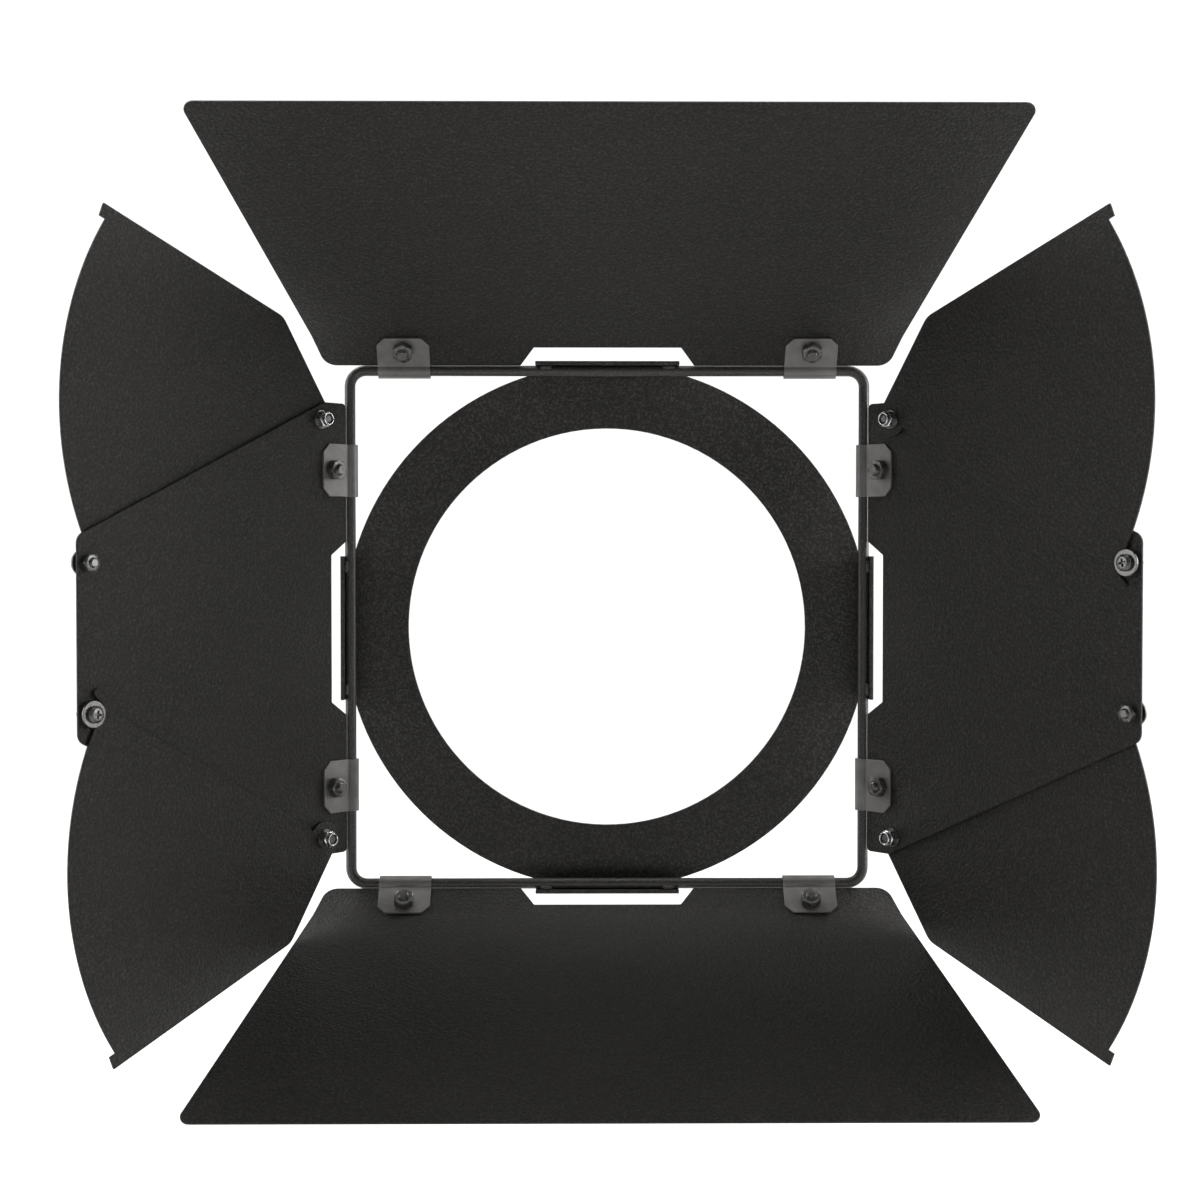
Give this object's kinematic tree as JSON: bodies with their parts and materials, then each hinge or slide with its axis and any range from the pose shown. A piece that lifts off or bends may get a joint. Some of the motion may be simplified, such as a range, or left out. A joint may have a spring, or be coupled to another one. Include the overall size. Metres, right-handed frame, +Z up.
{
  "type": "barn door attachment",
  "caption": "Eight-leaf barn door for a stage lantern: ring plate and wire frame, hinged top, bottom and side leaves, and sector flaps pivoting on the side leaves.",
  "frame": {"origin": "centre of the light aperture, on the rear face of the ring plate", "axes": "+Z up as the lantern hangs, the beam leaves towards -Y, +X to the right seen from the front"},
  "size_m": [0.3604, 0.11, 0.3377],
  "materials": {
    "ring_black": "matt black fine-texture powder coat on steel sheet",
    "rod_black": "satin black powder coat on steel rod",
    "leaf_black": "matt black fine-texture powder coat on steel sheet",
    "clip_grey": "satin dark grey phosphate coat on spring steel strip",
    "fastener_dark": "black oxide steel",
    "lock_nut_zinc": "bright zinc plated steel",
    "bolt_zinc": "zinc plated steel"
  },
  "bodies": {
    "frame": {"ring_plate": "ring_black", "weld_beads": "rod_black", "wire_frame": "rod_black"},
    "top": {"top_leaf": "leaf_black", "top_clips": "clip_grey", "top_clip_screws": "fastener_dark", "top_clip_nuts": "fastener_dark"},
    "bottom": {"bottom_leaf": "leaf_black", "bottom_clips": "clip_grey", "bottom_clip_screws": "fastener_dark", "bottom_clip_nuts": "fastener_dark"},
    "left": {"left_leaf": "leaf_black", "left_clips": "clip_grey", "left_clip_screws": "fastener_dark", "left_clip_nuts": "fastener_dark", "left_pivot_bolts": "bolt_zinc", "left_pivot_nuts": "lock_nut_zinc", "left_pivot_washers": "fastener_dark", "left_stop_screws": "fastener_dark", "left_stop_washers": "fastener_dark", "left_stop_spacers": "fastener_dark", "left_stop_nuts": "fastener_dark"},
    "right": {"right_leaf": "leaf_black", "right_clips": "clip_grey", "right_clip_screws": "fastener_dark", "right_clip_nuts": "fastener_dark", "right_pivot_bolts": "bolt_zinc", "right_pivot_nuts": "lock_nut_zinc", "right_pivot_washers": "fastener_dark", "right_stop_screws": "fastener_dark", "right_stop_washers": "fastener_dark", "right_stop_spacers": "fastener_dark", "right_stop_nuts": "fastener_dark"},
    "left_front": {"left_front_flap": "leaf_black"},
    "left_rear": {"left_rear_flap": "leaf_black"},
    "right_front": {"right_front_flap": "leaf_black"},
    "right_rear": {"right_rear_flap": "leaf_black"}
  },
  "joints": [
    {"name": "top_leaf_hinge", "type": "hinge", "parent": "frame", "child": "top", "pos_m": [0, -0.01, 0.0965], "axis": [1, 0, 0], "range_deg": [-58, 12]},
    {"name": "bottom_leaf_hinge", "type": "hinge", "parent": "frame", "child": "bottom", "pos_m": [0, -0.01, -0.0965], "axis": [-1, 0, 0], "range_deg": [-70, 2]},
    {"name": "left_leaf_hinge", "type": "hinge", "parent": "frame", "child": "left", "pos_m": [-0.0965, -0.01, 0], "axis": [0, 0, 1], "range_deg": [-60, 60]},
    {"name": "right_leaf_hinge", "type": "hinge", "parent": "frame", "child": "right", "pos_m": [0.0965, -0.01, 0], "axis": [0, 0, -1], "range_deg": [-60, 60]},
    {"name": "left_front_flap_pivot", "type": "hinge", "parent": "left", "child": "left_front", "pos_m": [-0.10614, -0.02149, -0.0776], "axis": [-0.766, 0.6428, 0], "range_deg": [0, 58]},
    {"name": "left_rear_flap_pivot", "type": "hinge", "parent": "left", "child": "left_rear", "pos_m": [-0.10614, -0.02149, 0.0776], "axis": [0.766, -0.6428, 0], "range_deg": [0, 58]},
    {"name": "right_front_flap_pivot", "type": "hinge", "parent": "right", "child": "right_front", "pos_m": [0.10614, -0.02149, 0.0776], "axis": [0.766, 0.6428, 0], "range_deg": [0, 58]},
    {"name": "right_rear_flap_pivot", "type": "hinge", "parent": "right", "child": "right_rear", "pos_m": [0.10614, -0.02149, -0.0776], "axis": [-0.766, -0.6428, 0], "range_deg": [0, 58]}
  ]
}
